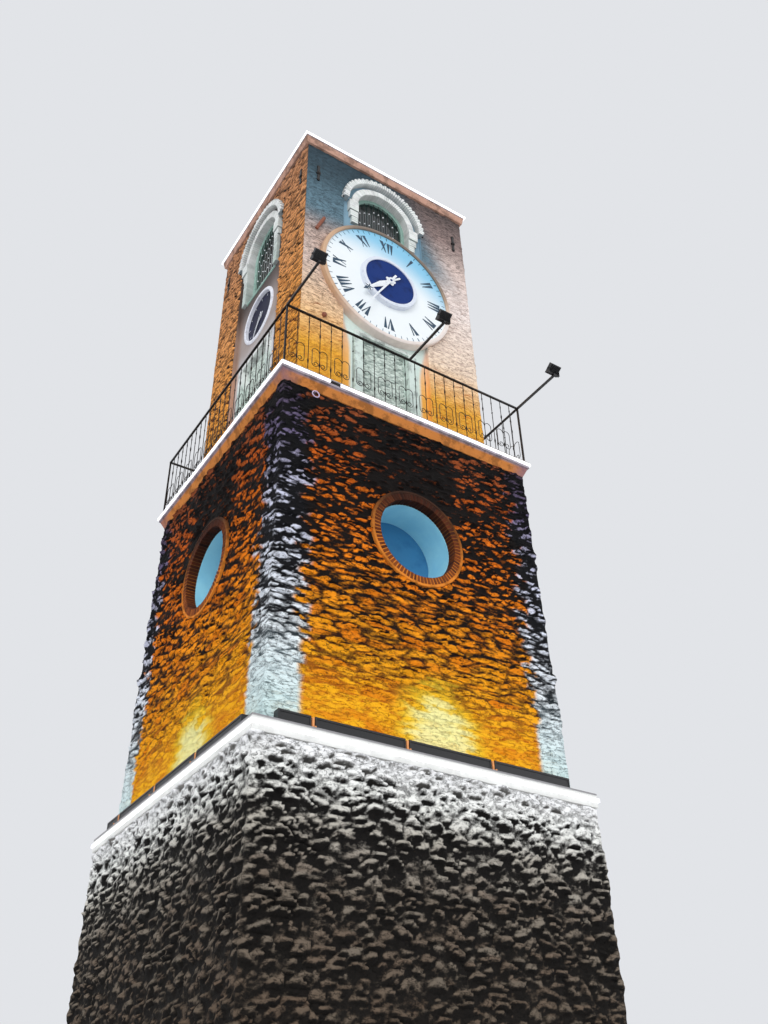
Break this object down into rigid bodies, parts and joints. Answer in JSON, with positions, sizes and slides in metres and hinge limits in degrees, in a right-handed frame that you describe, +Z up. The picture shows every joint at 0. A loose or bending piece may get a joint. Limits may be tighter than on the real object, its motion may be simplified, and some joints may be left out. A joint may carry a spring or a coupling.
{
  "type": "clock tower",
  "caption": "Square stone clock tower in three stages, with a railed balcony, a large white dial, small blue dials, round and arched windows, and light strips.",
  "frame": {"origin": "on the ground, under the middle of the tower", "axes": "+Z up; the side with the large white dial faces -Y; +X to the right when facing that side"},
  "size_m": [3.822, 4.4113, 13.33],
  "materials": {
    "stone": "rough coursed rubble, warm ochre with paler corners",
    "dressed_stone": "smooth dressed stone",
    "brick": "pale brick arches, radial joints",
    "lit_strip": "white light strip, lit",
    "iron": "black painted wrought iron",
    "lamp_black": "black powder coat",
    "blue_glass": "dark blue glass",
    "window_glass": "dark window glass",
    "window_paint": "pale green paint",
    "dial_white": "white opal dial with dark hour marks",
    "dial_metal": "grey painted rims",
    "hand_white": "white painted plate",
    "roofing": "grey standing-seam sheet"
  },
  "bodies": {
    "tower": {"balcony_cornice": "dressed_stone", "balcony_light_strip": "lit_strip", "balcony_slab": "dressed_stone", "base_wall_back": "stone", "base_wall_front": "stone", "base_wall_left": "stone", "base_wall_right": "stone", "clock_wall_back": "stone", "clock_wall_front": "stone", "clock_wall_left": "stone", "clock_wall_right": "stone", "doorway_frames": "dressed_stone", "floodlight_arms": "lamp_black", "floodlight_heads": "lamp_black", "front_centre_disc": "blue_glass", "front_centre_ring": "dial_metal", "front_dial": "dial_white", "front_dial_rim": "dial_metal", "ground_floor": "dressed_stone", "hood_arches": "brick", "ledge_course": "dressed_stone", "ledge_light_housings": "lamp_black", "ledge_light_strip": "lit_strip", "middle_wall_back": "stone", "middle_wall_front": "stone", "middle_wall_left": "stone", "middle_wall_right": "stone", "oculus_panes": "blue_glass", "oculus_rings": "brick", "railing_back": "iron", "railing_front": "iron", "railing_left": "iron", "railing_right": "iron", "roof": "roofing", "roof_cornice": "dressed_stone", "roof_light_strip": "lit_strip", "side_dial_discs": "blue_glass", "side_dial_rings": "dial_metal", "wall_irons": "iron", "window_arches": "brick", "window_frames": "window_paint", "window_glass": "window_glass"},
    "hour_hand_front": {"hour_hand_front": "hand_white"},
    "hour_hand_right": {"hour_hand_right": "hand_white"},
    "hour_hand_back": {"hour_hand_back": "hand_white"},
    "hour_hand_left": {"hour_hand_left": "hand_white"},
    "minute_hand_front": {"minute_hand_front": "hand_white"},
    "minute_hand_right": {"minute_hand_right": "hand_white"},
    "minute_hand_back": {"minute_hand_back": "hand_white"},
    "minute_hand_left": {"minute_hand_left": "hand_white"}
  },
  "joints": [
    {"name": "hour_turn_front", "type": "hinge", "parent": "tower", "child": "hour_hand_front", "pos_m": [-0.09, -1.4785, 10.44], "axis": [0, 1, 0], "continuous": true},
    {"name": "minute_turn_front", "type": "hinge", "parent": "tower", "child": "minute_hand_front", "pos_m": [-0.09, -1.4785, 10.44], "axis": [0, 1, 0], "continuous": true},
    {"name": "hour_turn_right", "type": "hinge", "parent": "tower", "child": "hour_hand_right", "pos_m": [1.275, 0, 10.44], "axis": [-1, 0, 0], "continuous": true},
    {"name": "minute_turn_right", "type": "hinge", "parent": "tower", "child": "minute_hand_right", "pos_m": [1.275, 0, 10.44], "axis": [-1, 0, 0], "continuous": true},
    {"name": "hour_turn_back", "type": "hinge", "parent": "tower", "child": "hour_hand_back", "pos_m": [0, 1.275, 10.44], "axis": [0, -1, 0], "continuous": true},
    {"name": "minute_turn_back", "type": "hinge", "parent": "tower", "child": "minute_hand_back", "pos_m": [0, 1.275, 10.44], "axis": [0, -1, 0], "continuous": true},
    {"name": "hour_turn_left", "type": "hinge", "parent": "tower", "child": "hour_hand_left", "pos_m": [-1.275, 0, 10.44], "axis": [1, 0, 0], "continuous": true},
    {"name": "minute_turn_left", "type": "hinge", "parent": "tower", "child": "minute_hand_left", "pos_m": [-1.275, 0, 10.44], "axis": [1, 0, 0], "continuous": true}
  ],
  "couplings": [
    {"joint": "hour_turn_front", "follows": "minute_turn_front", "ratio": 0.083333},
    {"joint": "hour_turn_right", "follows": "minute_turn_front", "ratio": 0.083333},
    {"joint": "minute_turn_right", "follows": "minute_turn_front", "ratio": 1},
    {"joint": "hour_turn_back", "follows": "minute_turn_front", "ratio": 0.083333},
    {"joint": "minute_turn_back", "follows": "minute_turn_front", "ratio": 1},
    {"joint": "hour_turn_left", "follows": "minute_turn_front", "ratio": 0.083333},
    {"joint": "minute_turn_left", "follows": "minute_turn_front", "ratio": 1}
  ]
}
